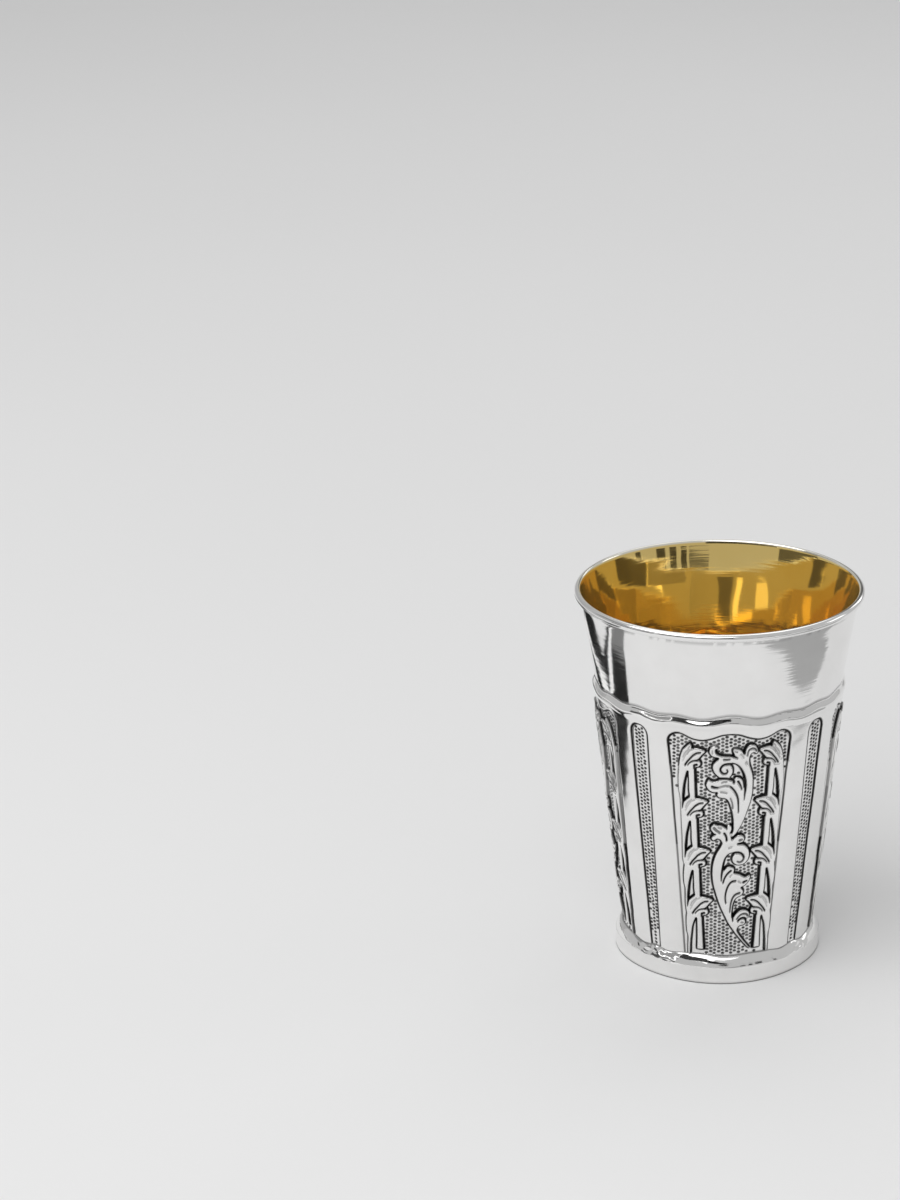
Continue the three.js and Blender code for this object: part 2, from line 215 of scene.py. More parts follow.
UPPER_SCROLL = [
    (.4, .36, .95, [(.7, 40.2), (.7, 41.5), (.6, 42.8), (.4, 44.1), (.1, 45.3), (-.3, 46.5),
                    (-.7, 47.2), (-1.2, 47.55)]),
    (.36, .44, .95, [(-1.2, 47.55), (-1.9, 47.65), (-2.5, 47.8), (-2.95, 48.2), (-3.1, 48.7),
                     (-2.95, 49.1)]),
    (.46, .4, 1, [(-2.95, 49.1), (-3.5, 49.05), (-4.2, 49.2), (-4.8, 49.6), (-5.3, 50.3),
                  (-5.55, 51.1), (-5.4, 51.8), (-5.15, 52.35), (-4.8, 52.75)]),
    (.3, .42, .85, [(-4.8, 52.75), (-4.3, 52.4), (-3.7, 52.2), (-3, 52.35), (-2.5, 52.8)]),
    (.42, .42, .95, [(-2.5, 52.8), (-3.1, 53.4), (-3.7, 54.1), (-4.1, 55.1), (-4.15, 56),
                     (-3.85, 56.8), (-3.3, 57.4), (-2.85, 57.8)]),
    (.46, .36, .9, [(-2.85, 57.85), (-3.6, 57.95), (-4.3, 58.3), (-4.8, 58.9), (-5, 59.6),
                    (-4.8, 60.4)]),
    (.34, .3, .6, [(-4.8, 60.4), (-4.3, 60.95), (-3.6, 61.1), (-2.95, 60.9), (-2.6, 60.4),
                   (-2.9, 60.05)]),
    (.46, .34, .95, [(-3.25, 60), (-3.25, 59.6), (-3.05, 59.2), (-2.6, 58.9), (-1.9, 58.65),
                     (-.9, 58.55), (.1, 58.5), (.7, 58.35)]),
    (.5, .28, .9, [(.7, 58.35), (.55, 58.9), (.35, 59.5), (.3, 60)]),
    (.28, .36, .75, [(.3, 60), (.75, 60.3), (1.4, 60.35), (2, 60.2), (2.6, 59.8), (3.05, 59)]),
    (.5, .38, .95, [(3.05, 59), (3.1, 59.7), (3.35, 60.4), (3.9, 61.05), (4.6, 61.3)]),
    (.4, .34, .85, [(4.6, 61.3), (5.3, 61.15), (5.9, 60.6), (6.25, 59.9), (6.35, 59.2), (6.1, 58.65),
                    (5.7, 58.55), (5.2, 58.85), (4.75, 58.7), (4.45, 58.1)]),
    (.36, .34, .8, [(4.45, 58.1), (4.35, 57.2), (4.45, 56.2), (4.75, 55.2), (5.1, 54), (5.3, 52.5)]),
    (.34, .28, .7, [(5.3, 52.5), (5.3, 50.8), (5.25, 49.2), (5.1, 47.8), (4.75, 46.3), (4.3, 44.8),
                    (3.85, 43.4)]),
    (.28, .34, .6, [(3.85, 43.4), (3.4, 42.1), (2.9, 40.9), (2.3, 39.7), (1.7, 38.6), (1.1, 37.9),
                    (.7, 37.2)]),
    (*UNCUT, [(.7, 37.2), (.45, 38.9), (.7, 40.2)]),
]
# Ground that shows inside the upper volute
WINDOW = [(.5, 56.35), (1.2, 56.1), (1.9, 55.5), (2.5, 54.6), (2.9, 53.6), (3.05, 52.6), (2.75, 52.6),
          (2.3, 53), (1.8, 53.25), (1.3, 53.25), (.85, 52.95), (.65, 52.6), (.3, 52.75), (.05, 53.05),
          (.45, 53.6), (.7, 54.3), (.72, 55.1), (.55, 55.8)]
# Lines chased on the scrolls
VEINS = [
    (.4, .42, .95, [(.5, 56.5), (-.1, 56.55), (-.8, 56.5), (-1.5, 56.3), (-2, 55.8), (-2.25, 55.2),
                    (-2.1, 54.6), (-1.75, 54.2)]),
    (.4, .24, .8, [(-1.75, 54.2), (-1.3, 54.1), (-.85, 54.25), (-.65, 54.65), (-.8, 55.05)]),
    (.34, .36, .8, [(.1, 53.15), (.3, 53.4), (.6, 54), (.7, 54.8), (.6, 55.5), (.3, 56.1),
                    (-.1, 56.45)]),
    (.46, .5, 1, [(-2.5, 52.85), (-1.7, 52.85), (-.8, 52.8), (0, 52.6), (.7, 52.35), (.8, 51.8)]),
    (.34, .6, 1, [(.4, 56.6), (1.2, 56.3), (2, 55.6), (2.6, 54.6), (3, 53.6), (3.3, 52.3), (3.4, 51)]),
    (.62, .1, 1, [(3.4, 51), (3.4, 49.8), (3.3, 48.6), (3.2, 47.3)]),
    (.3, .34, .85, [(.85, 52.95), (1.3, 53.2), (1.8, 53.2), (2.4, 53), (2.8, 52.4), (3, 51.7),
                    (3.15, 50.5)]),
    (.44, .2, .95, [(1.75, 52), (2.1, 51.4), (2.4, 50.7), (2.6, 50)]),
    (.5, .3, .8, [(-4, 50.75), (-3.5, 50.6), (-2.7, 50.55)]),
    (.26, .3, .5, [(-2.7, 50.55), (-1.9, 50.85), (-1.1, 51.05), (-.3, 50.95), (.1, 50.7)]),
    (.36, .36, .9, [(.1, 50.7), (.4, 50.4), (1, 49.6), (1.5, 48.6), (1.8, 47.5)]),
    (.36, .2, .8, [(1.8, 47.5), (1.9, 46), (1.95, 44.2)]),
    (.24, .2, .4, [(-2.1, 49.5), (-1.4, 49.45), (-.7, 49.2)]),
    (.2, .3, .6, [(.1, 47.8), (.4, 47), (.6, 46), (.65, 45.2)]),
    (.2, .26, .5, [(-1.9, 51.8), (-1.4, 52.05), (-.8, 52.1)]),
    (.34, .3, .7, [(-1.5, 57.7), (-.9, 57.65), (-.2, 57.75)]),
    (.3, .2, .4, [(3.5, 56.9), (3.75, 56.4)]),
    (.24, .36, .7, [(3.75, 58.5), (3.85, 59.3), (4.2, 59.9), (4.8, 60.15), (5.4, 60), (5.75, 59.5)]),
    (.3, .2, .4, [(-4.1, 59.2), (-4.1, 59.8)]),
    (.3, .2, .35, [(.9, 59.7), (1.5, 59.6)]),
    (.3, .2, .35, [(2.3, 58.9), (2.9, 58.1)]),
    (.5, .2, .95, [(.75, 58.35), (1.5, 57.95)]),
    (.46, .44, 1, [(.95, 33.5), (1.2, 33.65), (1.8, 33.75), (2.5, 33.6), (3.1, 33.1), (3.4, 32.4)]),
    (.4, .24, .7, [(3.4, 32.4), (3.3, 31.8), (2.9, 31.35), (2.4, 31.2), (1.95, 31.4)]),
    (.5, .16, 1, [(-1.25, 29.8), (-1.45, 28.5), (-1.55, 27.3), (-1.55, 26.4)]),
    (.26, .4, .8, [(-1.15, 25.9), (-.9, 26.9), (-.5, 27.8), (0, 28.5), (.55, 29.05)]),
    (.24, .38, .85, [(-.45, 20.6), (-.6, 21.8), (-.5, 23.2), (-.2, 24.5), (.3, 25.6), (.9, 26.2),
                     (1.6, 26.35)]),
    (.3, .2, .4, [(2.3, 26.2), (2.9, 25.8)]),
    (.46, .3, .8, [(3.45, 25.85), (4.2, 26.2)]),
    (.3, .2, .35, [(.4, 27.6), (.8, 28)]),
    (.2, .42, .75, [(.5, 18.2), (.6, 19.6), (.8, 21), (1.2, 22.1), (1.8, 22.8), (2.6, 23.1)]),
    (.46, .2, .95, [(1.15, 17.2), (1.2, 15.8)]),
    (.24, .44, .7, [(2.1, 16.2), (2.6, 16.9), (3.2, 17.4), (3.9, 17.5), (4.4, 17.3), (4.6, 16.9)]),
    (.4, .6, 1, [(2.4, 15.7), (2.8, 16.15), (3.4, 16.4), (3.9, 16.3), (4.15, 16)]),
    (.34, .3, .5, [(3.2, 15.3), (3.6, 15.2)]),
    (.6, .4, .6, [(-3.4, 40.1), (-2.9, 39.6), (-2.1, 39)]),
    (.4, .4, .85, [(-1.1, 38.8), (-.8, 38.3), (-.6, 37.6), (-.55, 37)]),
    (.3, .3, .4, [(-2.5, 40.3), (-1.8, 40.15)]),
    (.5, .4, .6, [(2.4, 36.85), (2.9, 37)]),
    (.36, .56, .95, [(2, 35.95), (2.9, 36)]),
    (.3, .2, .3, [(0, 35.05), (.7, 35.3)]),
    (.5, .3, .8, [(-3.9, 38.45), (-3.1, 38.5)]),
    (.5, .2, .8, [(-.75, 40.5), (-.55, 39.95)]),
]

# One spray of the left column, from the rod's inner edge at the height of the leaf's tip
SPRAYS, SPRAY_PITCH, FIRST_SPRAY = 4, 12.75, 21.25
COLUMNS_CENTRE = 0.45
SPRAY_EDGE = [
    (.4, .34, .95, [(.27, -4.6), (.6, -4.25), (1, -4.15), (1.5, -3.75), (1.68, -3.15), (1.5, -2.55),
                    (1.1, -2.15)]),
    (.42, .36, 1, [(1.1, -2.15), (1.5, -1.6), (2, -.9), (2.5, -.35), (2.72, 0)]),
    (.36, .46, 1, [(2.72, 0), (2.4, .42), (1.7, .68), (.8, .88), (-.15, 1)]),
]
SPRAY_VEINS = [
    (.3, .34, 1, [(1.4, -.3), (.6, -.5), (-.2, -1.1), (-.9, -2), (-1.5, -2.8), (-2, -3.7)]),
    (.34, .16, .8, [(1.1, -2.2), (.3, -2.4), (-.4, -2.6), (-1, -3.1), (-1.4, -3.7)]),
    (.28, .16, .35, [(-1.2, .3), (-2.1, -.7), (-2.5, -1.8)]),
    (.22, .14, .3, [(-.4, .5), (-1.2, -.1), (-1.9, -1.2), (-2.5, -2.6)]),
    (.5, .44, 1, [(.6, -3.45), (.1, -3.6)]),
    (.4, .4, .9, [(.05, -3.7), (.1, -4.4)]),
    (.5, .3, 1, [(1.2, -2.15), (.55, -2.4)]),
]
SPRAY_SLIT = [
    (.2, .46, 1, [(-1.44, -5.4), (-1.4, -5.9), (-1.3, -7.9), (-1.25, -9.9), (-1.05, -11.7)]),
    (.44, .44, .95, [(-1.05, -11.7), (-1.7, -12.3), (-2.3, -13)]),
    (.4, .4, .95, [(-2.3, -13), (-2.35, -12), (-2.3, -10.9), (-2.15, -8.9), (-1.9, -7.4),
                   (-1.6, -5.9), (-1.44, -5.4)]),
]
SLIT_TAIL = [(.42, .1, .95, [(-2.3, -13), (-2.4, -13.8), (-2.45, -14.7)])]
CROWN = [
    (.5, .4, .95, [(-.15, 1), (-.4, .7), (-.45, 1.2), (-.65, 1.65), (-.95, 1.95)]),
    (.34, .32, .8, [(-.95, 1.95), (-1.5, 1.6), (-2.2, .9), (-2.8, .1), (-3.2, -1), (-3.5, -2.4),
                    (-3.7, -4.3)]),
]
CROWN_VEINS = [
    (.2, .2, .4, [(-1, 1.1), (-1.35, .5)]),
    (.2, .16, .4, [(-.55, .5), (-1.2, -.3), (-1.6, -1)]),
]
# Outer line of the left column, from below the crown down to the foot line
COLUMN_OUTSIDE = [
    (.3, .28, .5, [(-11.8, 55.1), (-11.9, 53), (-11.85, 51), (-11.7, 49.3), (-11.35, 47.5),
                   (-11.15, 45), (-11.05, 43)]),
    (.28, .32, .6, [(-11.05, 43), (-10.9, 40), (-10.75, 37.5), (-10.65, 34.5), (-10.55, 32),
                    (-10.4, 30.8), (-10.15, 30)]),
    (.36, .3, .8, [(-10.15, 30), (-10.25, 28.5), (-10.3, 27), (-10.15, 25.2), (-9.85, 23.8),
                   (-9.8, 22), (-9.75, 20), (-9.6, 18.6), (-9.4, 17.4)]),
    (.34, .3, .75, [(-9.4, 17.4), (-9.5, 16), (-9.45, 14), (-9.3, 12.5), (-9, 11.2), (-9, 9),
                    (-8.95, 6.3)]),
]
ROD_FOOT = [
    (.44, .4, .95, [(-7.1, 16.2), (-6.98, 13), (-6.95, 10), (-6.95, 8.2), (-6.7, 7.95), (-6, 7.9),
                    (-5.3, 7.95), (-5.05, 8.2)]),
    (.2, .3, .8, [(-7.15, 16.3), (-7.4, 15.5), (-7.8, 14), (-8, 12), (-8.15, 10), (-8.2, 8),
                  (-8.2, 6.3)]),
]
# Below its rod the left column is closed along these runs
COLUMN_FOOT = [
    (*UNCUT, [(-8.95, 6.3), (-8.2, 6.3)]),
    (*UNCUT, [(-8.2, 6.3), (-8.2, 8), (-8.15, 10), (-8, 12), (-7.8, 14), (-7.4, 15.5),
              (-7.12, 16.2)]),
    (*UNCUT, [(-7.1, 16.2), (-6.98, 13), (-6.95, 8)]),
    (*UNCUT, [(-6.95, 8), (-5.1, 8)]),
]
PANEL_SIDE = [
    (.32, .3, .6, [(-9.65, 6.3), (-9.95, 10), (-10.35, 15), (-10.9, 21.5), (-11.5, 29), (-12, 35)]),
    (.3, .38, .75, [(-12, 35), (-12.4, 39.5), (-12.8, 44), (-13.4, 52), (-13.85, 55.5)]),
    (.4, .5, .95, [(-13.85, 55.5), (-14.15, 58.5), (-14.4, 60.6), (-14.42, 61.6), (-14.1, 62.4),
                    (-13.4, 63.05), (-12.6, 63.42), (-11.8, 63.5)]),
    (.4, .36, .95, [(-11.8, 63.5), (-11, 63.3), (-10.2, 62.95), (-9.3, 62.55), (-8.3, 62.25),
                    (-7.2, 62.1), (-6.2, 62.1), (-5.2, 62.3), (-4.2, 62.6), (-3.2, 63),
                    (-2.2, 63.4), (-1.2, 63.6), (0, 63.7)]),
]


def rod_edge(y):
    """Inner edge of the left column's rod, which leans outwards going up."""
    return -5.1 - 0.0595 * (y - 8)


def placed(runs, tip):
    return [(a, b, dark, [(rod_edge(tip) + x, tip + y) for x, y in pts]) for a, b, dark, pts in runs]


def mirrored(runs, about=COLUMNS_CENTRE):
    return [(a, b, dark, [(2 * about - x, y) for x, y in pts]) for a, b, dark, pts in runs]


def first_point(runs):
    return runs[0][-1][0]


def last_point(runs):
    return runs[-1][-1][-1]


def outline(runs):
    """Closed polygon through runs that follow each other."""
    return np.vstack([spline(pts)[:-1] for *_, pts in runs])


def left_column():
    """Runs of the left column: its outline, its slits, and the other lines on it."""
    tips = [FIRST_SPRAY + i * SPRAY_PITCH for i in range(SPRAYS)]
    edge, slits, lines = [], [], []
    below = (rod_edge(8), 8)
    for i, tip in enumerate(tips):
        spray = placed(SPRAY_EDGE, tip)
        edge += [(.5, .46, 1, [below, first_point(spray)])] + spray
        below = last_point(spray)
        lines += placed(SPRAY_VEINS, tip)
        if i:
            slits.append(placed(SPRAY_SLIT, tip))
            lines += placed(SLIT_TAIL, tip)
    edge += placed(CROWN, tips[-1]) + COLUMN_OUTSIDE
    lines += placed(CROWN_VEINS, tips[-1]) + ROD_FOOT
    return edge, slits, lines


# ---- fields over one quarter of the wall ----
STEP = 0.165                   # spacing of the relief's mesh
PANEL_SPAN = 30.4 * DEG        # the panel's mesh is fine to this angle from its middle
FLUTE_SPAN = 5.6 * DEG
PLAIN_COLUMNS = 9

# Inner edge of the panel's plain strips as (height, distance from the columns' centre)
STRIP_EDGE = [(6, 8.5), (30, 9.9), (56, 11.2), (62, 12.5)]
STRIP_TOP = 56                 # the strips rise out of the ground below this height

PUNCHED = ((-13.9, 7.1), (14, 63.4))   # lower left and upper right of the punched ground
PIT_PITCH = (0.93, 0.86)       # across and up
PIT_SIZE = (0.29, 0.35)
PIT_DEPTH = 0.12
PIT_DARKNESS = (0.9, 1)
PIT_CLEARANCE = 0.36           # from the middle of a pit to the nearest line

FLUTE_BOTTOM = (6.3, 1.25)     # height, half the width
FLUTE_TOP = (63.6, 2.35)
FLUTE_PITS = (7.3, 0.9, 62)    # height of the first, pitch, rows
FLUTE_PIT_SIZE = (0.28, 0.34)
FLUTE_PIT_COLUMNS = (-0.95, 0, 0.95)
FLUTE_PIT_CLEARANCE = 0.42     # from the middle of a pit to the flute's edge


def quarter_columns():
    """Angles of the columns of one quarter, with one more beyond each side."""
    quarter = math.pi / PANELS
    fine = STEP / CONE_TOP[1]
    panel = np.linspace(0, PANEL_SPAN, round(PANEL_SPAN / fine) + 1)
    plain = np.linspace(PANEL_SPAN, quarter - FLUTE_SPAN, PLAIN_COLUMNS + 1)
    flute = np.linspace(quarter - FLUTE_SPAN, quarter, round(FLUTE_SPAN / fine) + 1)
    half = np.concatenate([panel, plain[1:], flute[1:], [quarter + fine]])
    return np.concatenate([-half[:0:-1], half])


class Field:
    """Relief over a grid of angles and heights: nearness to lines, grooves and dark patina."""

    REACH = 1.6                # lines are felt this far away

    def __init__(self, x, y):
        self.x, self.y = x, y
        self.near = np.full(x.shape, 9.0)
        self.groove = np.zeros(x.shape)
        self.dark = np.zeros(x.shape)

    def window(self, points, margin):
        """Rows and columns that may lie within a margin of the points."""
        lo, hi = points.min(axis=0) - margin, points.max(axis=0) + margin
        rows = np.nonzero((self.y[:, 0] < hi[1] + 1.5) & (self.y[:, 0] > lo[1] - 1.5))[0]
        if not len(rows):
            return None
        strip = self.x[rows[0]:rows[-1] + 1]
        columns = np.nonzero((strip.min(axis=0) < hi[0]) & (strip.max(axis=0) > lo[0]))[0]
        if not len(columns):
            return None
        return slice(rows[0], rows[-1] + 1), slice(columns[0], columns[-1] + 1)

    def distance(self, window, a, b):
        """Distance to the line from a to b, and how far along it the nearest point is."""
        x, y = self.x[window] - a[0], self.y[window] - a[1]
        dx, dy = b[0] - a[0], b[1] - a[1]
        t = np.clip((x * dx + y * dy) / (dx * dx + dy * dy + 1e-12), 0, 1)
        return np.hypot(x - t * dx, y - t * dy), t

    def line(self, start_width, end_width, dark, points):
        """A chased line: a groove with patina in it, its width changing along it."""
        if not start_width:
            return
        p = spline(points)
        run = np.concatenate([[0], np.cumsum(np.hypot(*np.diff(p, axis=0).T))])
        width = start_width + (end_width - start_width) * run / run[-1]
        for i in range(len(p) - 1):
            window = self.window(p[i:i + 2], self.REACH)
            if window is None:
                continue
            d, t = self.distance(window, p[i], p[i + 1])
            half = (width[i] + (width[i + 1] - width[i]) * t) / 2
            self.near[window] = np.minimum(self.near[window], d)
            core = ease((half + 0.17 - d) / 0.2)
            self.dark[window] = np.maximum(self.dark[window], min(1, dark * 1.25) * core)
            cut = np.exp(-(d / (half + 0.11)) ** 2) * (0.35 + 0.65 * dark) * half * 0.7
            self.groove[window] = np.maximum(self.groove[window], cut)

    def inside(self, polygon):
        """Signed distance to a closed polygon, positive inside, no further than REACH."""
        signed = np.full(self.x.shape, -self.REACH)
        window = self.window(polygon, self.REACH)
        x, y = self.x[window], self.y[window]
        best = np.full(x.shape, self.REACH)
        within = np.zeros(x.shape, bool)
        for a, b in zip(polygon, np.roll(polygon, -1, axis=0)):
            d, _ = self.distance(window, a, b)
            best = np.minimum(best, d)
            if a[1] != b[1]:
                crosses = (y < a[1]) != (y < b[1])
                within ^= crosses & (x < a[0] + (y - a[1]) * (b[0] - a[0]) / (b[1] - a[1]))
        signed[window] = np.where(within, best, -best)
        return signed

    def pit(self, at, size, dark):
        """A punched dot, a little wider than high."""
        centre = np.array([at])
        window = self.window(centre, 0.8)
        if window is None:
            return
        d = np.hypot((self.x[window] - at[0]) / 1.15, (self.y[window] - at[1]) * 1.1) / size
        self.dark[window] = np.maximum(self.dark[window], dark * ease((1.35 - d) / .4))
        self.groove[window] = np.maximum(self.groove[window], PIT_DEPTH * np.exp(-d ** 4))

    def at(self, grid, x, y):
        """Value of a grid nearest to a point."""
        row = np.argmin(np.abs(self.y[:, self.y.shape[1] // 2] - y))
        return grid[row, np.argmin(np.abs(self.x[row] - x))]


def punch(field, mask):
    """Staggered rows of pits, wherever the mask allows and no line is near."""
    low, high = PUNCHED
    pitch_x, pitch_y = PIT_PITCH
    count_x = int((high[0] - low[0]) / pitch_x)
    count_y = int((high[1] - low[1]) / pitch_y)
    for i in range(count_x + 1):
        strength = rng.uniform(*PIT_DARKNESS)
        for j in range(count_y + 1):
            jitter = rng.normal(0, .045, 2)
            x = low[0] + i * pitch_x + jitter[0]
            y = low[1] + (j + (i % 2) / 2) * pitch_y + jitter[1]
            size, dark = rng.uniform(*PIT_SIZE), rng.uniform(*PIT_DARKNESS)
            room = min(field.at(field.near, x, y), field.at(mask, x, y))
            if y <= high[1] and room >= PIT_CLEARANCE:
                field.pit((x, y), size, strength * dark)


def punched_flute(angles, heights):
    """Field of one flute on angles from its own middle, and how deep inside it each place is."""
    flute = Field(angles[None, :] * cone(heights), heights)
    (low, half_low), (high, half_high) = FLUTE_BOTTOM, FLUTE_TOP
    arch = [(half_high * math.cos(a), high - half_high * (1 - math.sin(a)))
            for a in np.linspace(math.pi, 0, 9)]
    runs = [(.34, .42, .95, [(-half_low, low), (-half_high, high - half_high)]),
            (.42, .5, .95, arch),
            (.5, .34, .95, [(half_high, high - half_high), (half_low, low)])]
    for run in runs:
        flute.line(*run)
    hollow = flute.inside(outline(runs + [(*UNCUT, [last_point(runs), first_point(runs)])]))
    first, pitch, rows = FLUTE_PITS
    for j in range(rows):
        for offset in FLUTE_PIT_COLUMNS:
            x = offset + rng.normal(0, .05)
            y = first + j * pitch + (pitch / 2 if offset else 0) + rng.normal(0, .05)
            size, dark = rng.uniform(*FLUTE_PIT_SIZE), rng.uniform(*PIT_DARKNESS)
            if flute.at(hollow, x, y) > FLUTE_PIT_CLEARANCE:
                flute.pit((x, y), size, dark)
    return flute, hollow


def relief_quarter(angles, heights):
    """Height above the cone and darkness of the patina over one quarter of the wall."""
    x = angles[None, :] * cone(heights)
    field = Field(x, heights)
    column, slits, column_lines = left_column()
    side = PANEL_SIDE + [(a, b, dark, pts[::-1]) for a, b, dark, pts in mirrored(PANEL_SIDE, 0)[::-1]]

    slits += [mirrored(slit) for slit in slits]
    for runs in (LOWER_SCROLL, UPPER_SCROLL, VEINS, column, mirrored(column), column_lines,
                 mirrored(column_lines), side, *slits):
        for run in runs:
            field.line(*run)

    panel = field.inside(outline(side + [(*UNCUT, [last_point(side), first_point(side)])]))
    scrolls = np.maximum(field.inside(outline(LOWER_SCROLL)), field.inside(outline(UPPER_SCROLL)))
    scrolls = np.minimum(scrolls, -field.inside(np.array(WINDOW)))
    closed = column + COLUMN_FOOT
    columns = np.maximum(field.inside(outline(closed)), field.inside(outline(mirrored(closed))))
    openings = np.full(x.shape, -field.REACH)
    for slit in slits:
        openings = np.maximum(openings, field.inside(outline(slit)))
    columns = np.minimum(columns, -openings)

    # Plain strips lie between the columns and the panel's sides
    middle = np.abs(x - COLUMNS_CENTRE)
    strip = ease((middle - np.interp(heights, *zip(*STRIP_EDGE))) / .5)
    strip_level = GROUND + (STRIP - GROUND) * strip * ease((STRIP_TOP - heights) / 6)
    level = np.where(panel > -1, strip_level, 0) * ease((panel + .12) / .3)
    level += (COLUMN - GROUND) * ease((columns + .1) / .34)
    level += (SCROLL - GROUND) * ease((scrolls + .1) / .36)
    ornament = np.maximum(columns, scrolls)
    # Between its lines the ornament is rounded
    swell = 1 - (1 - np.clip(field.near / .95, 0, 1)) ** 2
    level += .2 * swell * ease(ornament / .3)

    free = np.where(ornament > -.02, -1, np.minimum(panel, -ornament))
    # Not punched: the strips but for their top, the slits, and beside the lowest rods
    plain = (strip > .5) & (heights < 49) | (openings > -.1) | (middle > 6.2) & (heights < 17)
    free = np.where(plain, -1, free)
    punch(field, free)

    # The flute on each side of the quarter, half of it on this one
    quarter = math.pi / PANELS
    for sign in (-1, 1):
        flute, hollow = punched_flute(angles - sign * quarter, heights)
        level += GROUND * ease((hollow + .1) / .4)
        np.maximum(field.groove, flute.groove, out=field.groove)
        np.maximum(field.dark, flute.dark, out=field.dark)
    return level - field.groove, field.dark


# ---- meshes ----
def surface(name, angles, radius, height, dark, closed=False):
    """Mesh over a grid whose rows run up the profile. One more row and column on each side than
    the mesh needs gives the normals, so that neighbouring pieces meet without a crease."""
    place = np.stack([radius * np.sin(angles), -radius * np.cos(angles), height], axis=-1)
    across = place[1:-1, 2:] - place[1:-1, :-2]
    along = place[2:, 1:-1] - place[:-2, 1:-1]
    normal = np.cross(across, along)
    normal /= np.linalg.norm(normal, axis=-1)[..., None] + 1e-12
    place, dark = place[1:-1, 1:-1], dark[1:-1, 1:-1]
    if closed:
        place, normal, dark = place[:, :-1], normal[:, :-1], dark[:, :-1]
    rows, columns = dark.shape
    index = np.arange(rows * columns).reshape(rows, columns)
    right = np.roll(index, -1, axis=1) if closed else index[:, 1:]
    left = index if closed else index[:, :-1]
    quads = np.stack([left[:-1], right[:-1], right[1:], left[1:]], axis=-1).reshape(-1, 4)

    mesh = bpy.data.meshes.new(name)
    mesh.vertices.add(rows * columns)
    mesh.vertices.foreach_set("co", (place.reshape(-1) * MM).astype(np.float32))
    mesh.loops.add(quads.size)
    mesh.loops.foreach_set("vertex_index", quads.reshape(-1).astype(np.int32))
    mesh.polygons.add(len(quads))
    mesh.polygons.foreach_set("loop_start", np.arange(0, quads.size, 4, dtype=np.int32))
    mesh.update(calc_edges=True)
    mesh.shade_smooth()
    # Mask of patina in the lines and pits, of worn gilding, and of painted shade under the rim, along
    # the ridge's top and at the foot's standing edge
    patina_wear_and_shade = mesh.attributes.new("patina_wear_and_shade", "FLOAT", "POINT")
    patina_wear_and_shade.data.foreach_set("value", dark.reshape(-1).astype(np.float32))
    mesh.normals_split_custom_set_from_vertices(normal.reshape(-1, 3))
    piece = bpy.data.objects.new(name, mesh)
    bpy.context.scene.collection.objects.link(piece)
    return piece


def ring_angles(count):
    """Angles all the way round, with one more beyond each end."""
    return (np.arange(-1, count + 2) * 2 * math.pi / count)[None, :]


dents = unevenness(14, 9, 26)
ripples = unevenness(18, 2.2, 6)
lumps = unevenness(20, 1.6, 4)


def uneven(angle, r, z, large, small):
    """Radius with the slight unevenness of hand-finished metal."""
    x, y = r * np.sin(angle), -r * np.cos(angle)
    return r + large * dents(x, y, z) + small * ripples(x, y, z)


def wall_quarters():
    """The relief wall from the foot line to just under the ridge, a quarter to each panel."""
    columns = quarter_columns()
    low = around(columns, FOOT_LINE)
    ridge = around(columns, RIDGE_FOOT)
    high = ridge - RIDGE_LEAD * (around(columns, RIDGE_TOP) - ridge)
    rows = round((CONE_TOP[0] - CONE_BOTTOM[0]) / STEP)
    t = np.arange(-1, rows + 2)[:, None] / rows
    heights = low[None, :] * (1 - t) + high[None, :] * t
    relief, dark = relief_quarter(columns, heights)
    # The relief dies away into the plain edges
    fade = ease((heights - low[None, :]) / .25) * ease((high[None, :] - heights) / .5)
    dark = np.maximum(dark * ease((heights - low[None, :]) / .1), .55 * (1 - ease(t * rows / 1.5)))
    pieces = []
    for i in range(PANELS):
        angles = columns[None, :] + i * 2 * math.pi / PANELS
        r = uneven(angles, cone(heights), heights, WALL_DENTS, WALL_RIPPLES) + relief * fade
        pieces.append(surface(f"relief_wall_{i + 1}", angles, r, heights, dark))
    return pieces


